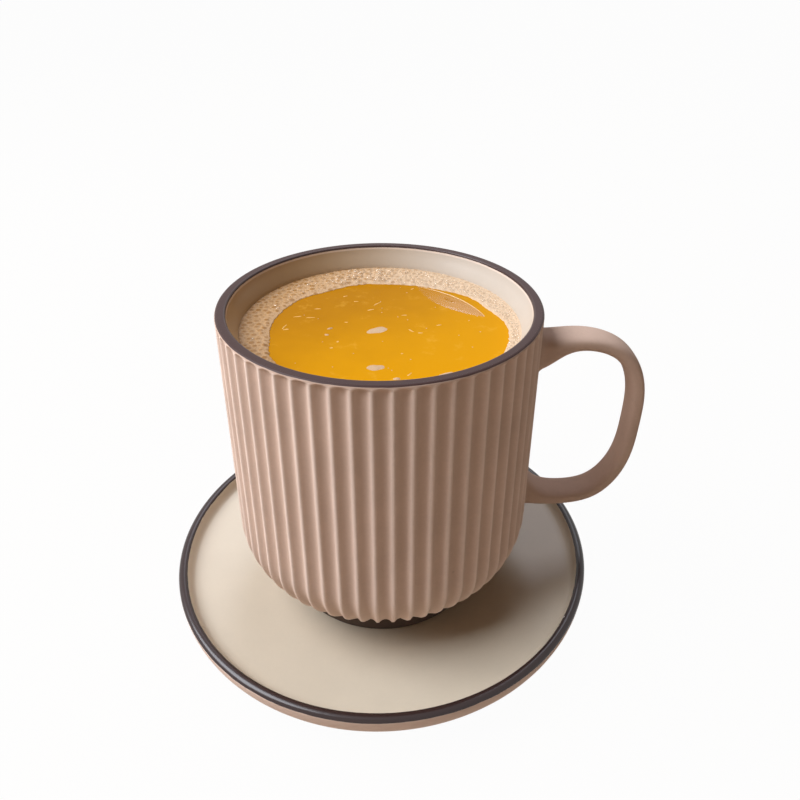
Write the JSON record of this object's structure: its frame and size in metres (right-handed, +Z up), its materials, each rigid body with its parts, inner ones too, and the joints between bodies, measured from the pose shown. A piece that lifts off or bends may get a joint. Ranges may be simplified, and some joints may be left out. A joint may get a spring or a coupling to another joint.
{
  "type": "hot orange juice",
  "caption": "Hot orange juice with a ring of froth in a ribbed stoneware mug, standing on a saucer with a dark glazed edge.",
  "frame": {"origin": "On the ground in the middle of the saucer's foot ring, on the mug's axis.", "axes": "+Z is up, +X points along the mug's handle and away from the mug, and +Y is to the left of +X seen from above."},
  "size_m": [0.149, 0.137, 0.106],
  "materials": {
    "mug_stoneware": "matte",
    "saucer_stoneware": "satin",
    "orange_juice": "gloss",
    "juice_froth": "matte"
  },
  "bodies": {
    "root": {"mug": "mug_stoneware", "saucer": "saucer_stoneware", "juice": "orange_juice", "froth": "juice_froth"}
  },
  "joints": []
}
